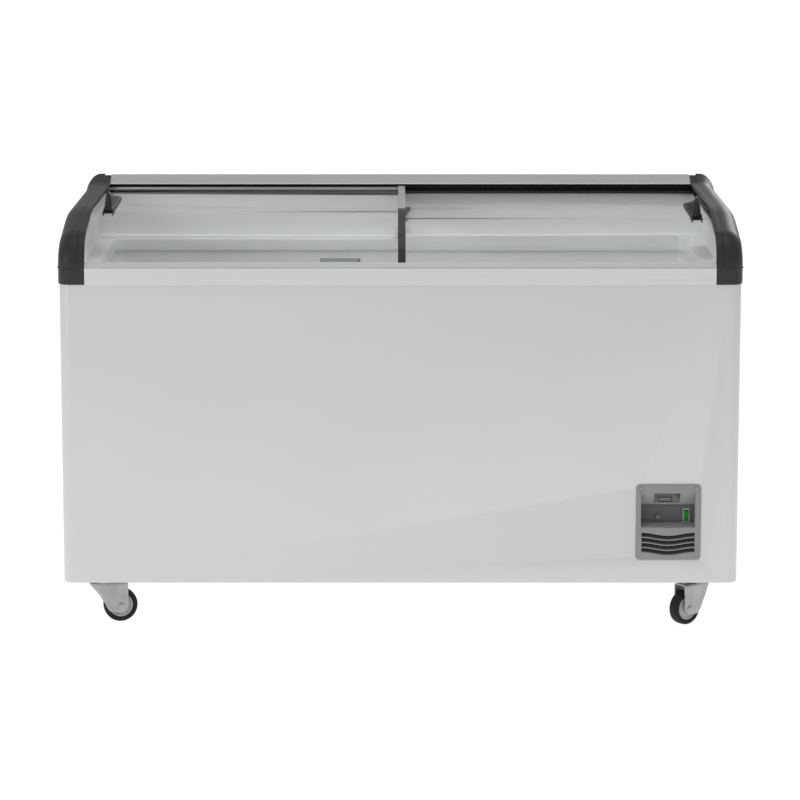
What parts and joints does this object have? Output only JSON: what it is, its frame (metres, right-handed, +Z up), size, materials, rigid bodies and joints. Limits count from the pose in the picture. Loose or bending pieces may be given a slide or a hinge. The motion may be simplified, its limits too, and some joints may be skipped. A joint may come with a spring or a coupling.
{
  "type": "display chest freezer",
  "caption": "Low chest freezer with a curved glass front and two sliding glass lids, white body, grey end caps, control panel and swivel casters.",
  "frame": {"origin": "on the floor, under the middle of the cabinet", "axes": "+Z up, +X to the right seen from the front, the curved front faces -Y"},
  "size_m": [1.48, 0.74, 0.936],
  "materials": {
    "white_enamel": "satin",
    "zinc_sheet": "satin",
    "galvanised": "satin",
    "foam": "matte",
    "liner_white": "satin",
    "copper": "satin",
    "collar_white": "satin",
    "anodised": "satin",
    "track_black": "matte",
    "cap_grey": "satin",
    "panel_grey": "satin",
    "screw_zinc": "satin",
    "display_plastic": "gloss",
    "thermostat_steel": "satin",
    "knob_grey": "matte",
    "switch_grey": "satin",
    "rocker_green": "gloss",
    "compressor_black": "gloss",
    "rubber_black": "matte",
    "condenser_black": "matte",
    "shroud_black": "satin",
    "motor_steel": "satin",
    "fan_aluminium": "satin",
    "drier_copper": "satin",
    "grille_black": "satin",
    "drain_white": "satin",
    "probe_grey": "satin",
    "stop_grey": "satin",
    "clip_white": "satin",
    "inlet_black": "matte",
    "glass": "gloss",
    "handle_grey": "satin",
    "runner_black": "matte",
    "frame_aluminium": "satin",
    "caster_zinc": "satin",
    "hub_grey": "satin",
    "tyre_black": "matte"
  },
  "bodies": {
    "cabinet": {"outer_shell": "white_enamel", "rear_panel": "zinc_sheet", "base_pan": "galvanised", "foam_insulation": "foam", "inner_liner": "liner_white", "evaporator_coil": "copper", "collar": "collar_white", "end_frames": "galvanised", "front_rail": "anodised", "rear_rail": "anodised", "front_track": "track_black", "rear_track": "track_black", "left_end_cap": "cap_grey", "right_end_cap": "cap_grey", "side_mouldings": "cap_grey", "trim_strips": "cap_grey", "control_panel": "panel_grey", "housing_screws": "screw_zinc", "temperature_display": "display_plastic", "thermostat_body": "thermostat_steel", "switch_housing": "switch_grey", "compressor": "compressor_black", "compressor_mounts": "rubber_black", "condenser": "condenser_black", "fan_shroud": "shroud_black", "fan_motor": "motor_steel", "refrigerant_pipes": "copper", "filter_drier": "drier_copper", "rear_grille": "grille_black", "drain_tube": "drain_white", "drain_plug": "rubber_black", "probe_cover": "probe_grey", "lid_stop": "stop_grey", "divider_clips": "clip_white", "cord_inlet": "inlet_black", "caster_plates": "caster_zinc", "caster_bolts": "screw_zinc"},
    "left_lid": {"left_glass": "glass", "left_frame": "frame_aluminium", "left_runner": "runner_black", "left_handle": "handle_grey"},
    "right_lid": {"right_glass": "glass", "right_frame": "frame_aluminium", "right_runner": "runner_black", "right_handle": "handle_grey"},
    "knob": {"thermostat_knob": "knob_grey"},
    "rocker": {"switch_rocker": "rocker_green"},
    "fan": {"fan_blades": "fan_aluminium"},
    "front_left_swivel": {"front_left_fork": "caster_zinc"},
    "front_left_roller": {"front_left_wheel": "hub_grey", "front_left_tyre": "tyre_black"},
    "front_right_swivel": {"front_right_fork": "caster_zinc"},
    "front_right_roller": {"front_right_wheel": "hub_grey", "front_right_tyre": "tyre_black"},
    "rear_left_swivel": {"rear_left_fork": "caster_zinc"},
    "rear_left_roller": {"rear_left_wheel": "hub_grey", "rear_left_tyre": "tyre_black"},
    "rear_right_swivel": {"rear_right_fork": "caster_zinc"},
    "rear_right_roller": {"rear_right_wheel": "hub_grey", "rear_right_tyre": "tyre_black"}
  },
  "joints": [
    {"name": "left_lid_slide", "type": "slide", "parent": "cabinet", "child": "left_lid", "axis": [1, 0, 0], "range_m": [0, 0.63]},
    {"name": "right_lid_slide", "type": "slide", "parent": "cabinet", "child": "right_lid", "axis": [1, 0, 0], "range_m": [-0.63, 0]},
    {"name": "thermostat_turn", "type": "hinge", "parent": "cabinet", "child": "knob", "pos_m": [0.563, -0.344, 0.2476], "axis": [0, 1, 0], "range_deg": [0, 270]},
    {"name": "switch_rock", "type": "hinge", "parent": "cabinet", "child": "rocker", "pos_m": [0.6255, -0.337, 0.2487], "axis": [-1, 0, 0], "range_deg": [0, 14]},
    {"name": "fan_spin", "type": "hinge", "parent": "cabinet", "child": "fan", "pos_m": [0.594, -0.23, 0.228], "axis": [0, 1, 0], "continuous": true},
    {"name": "front_left_swivel_turn", "type": "hinge", "parent": "cabinet", "child": "front_left_swivel", "pos_m": [-0.655, -0.295, 0.09], "axis": [0, 0, 1], "continuous": true},
    {"name": "front_left_wheel_spin", "type": "hinge", "parent": "front_left_swivel", "child": "front_left_roller", "pos_m": [-0.62007, -0.28629, 0.0375], "axis": [-0.2419, 0.9703, 0], "continuous": true},
    {"name": "front_right_swivel_turn", "type": "hinge", "parent": "cabinet", "child": "front_right_swivel", "pos_m": [0.655, -0.295, 0.09], "axis": [0, 0, 1], "continuous": true},
    {"name": "front_right_wheel_spin", "type": "hinge", "parent": "front_right_swivel", "child": "front_right_roller", "pos_m": [0.62702, -0.31766, 0.0375], "axis": [0.6293, -0.7771, 0], "continuous": true},
    {"name": "rear_left_swivel_turn", "type": "hinge", "parent": "cabinet", "child": "rear_left_swivel", "pos_m": [-0.655, 0.295, 0.09], "axis": [0, 0, 1], "continuous": true},
    {"name": "rear_left_wheel_spin", "type": "hinge", "parent": "rear_left_swivel", "child": "rear_left_roller", "pos_m": [-0.65814, 0.33086, 0.0375], "axis": [-0.9962, -0.0872, 0], "continuous": true},
    {"name": "rear_right_swivel_turn", "type": "hinge", "parent": "cabinet", "child": "rear_right_swivel", "pos_m": [0.655, 0.295, 0.09], "axis": [0, 0, 1], "continuous": true},
    {"name": "rear_right_wheel_spin", "type": "hinge", "parent": "rear_right_swivel", "child": "rear_right_roller", "pos_m": [0.66001, 0.33065, 0.0375], "axis": [-0.9903, 0.1392, 0], "continuous": true}
  ]
}
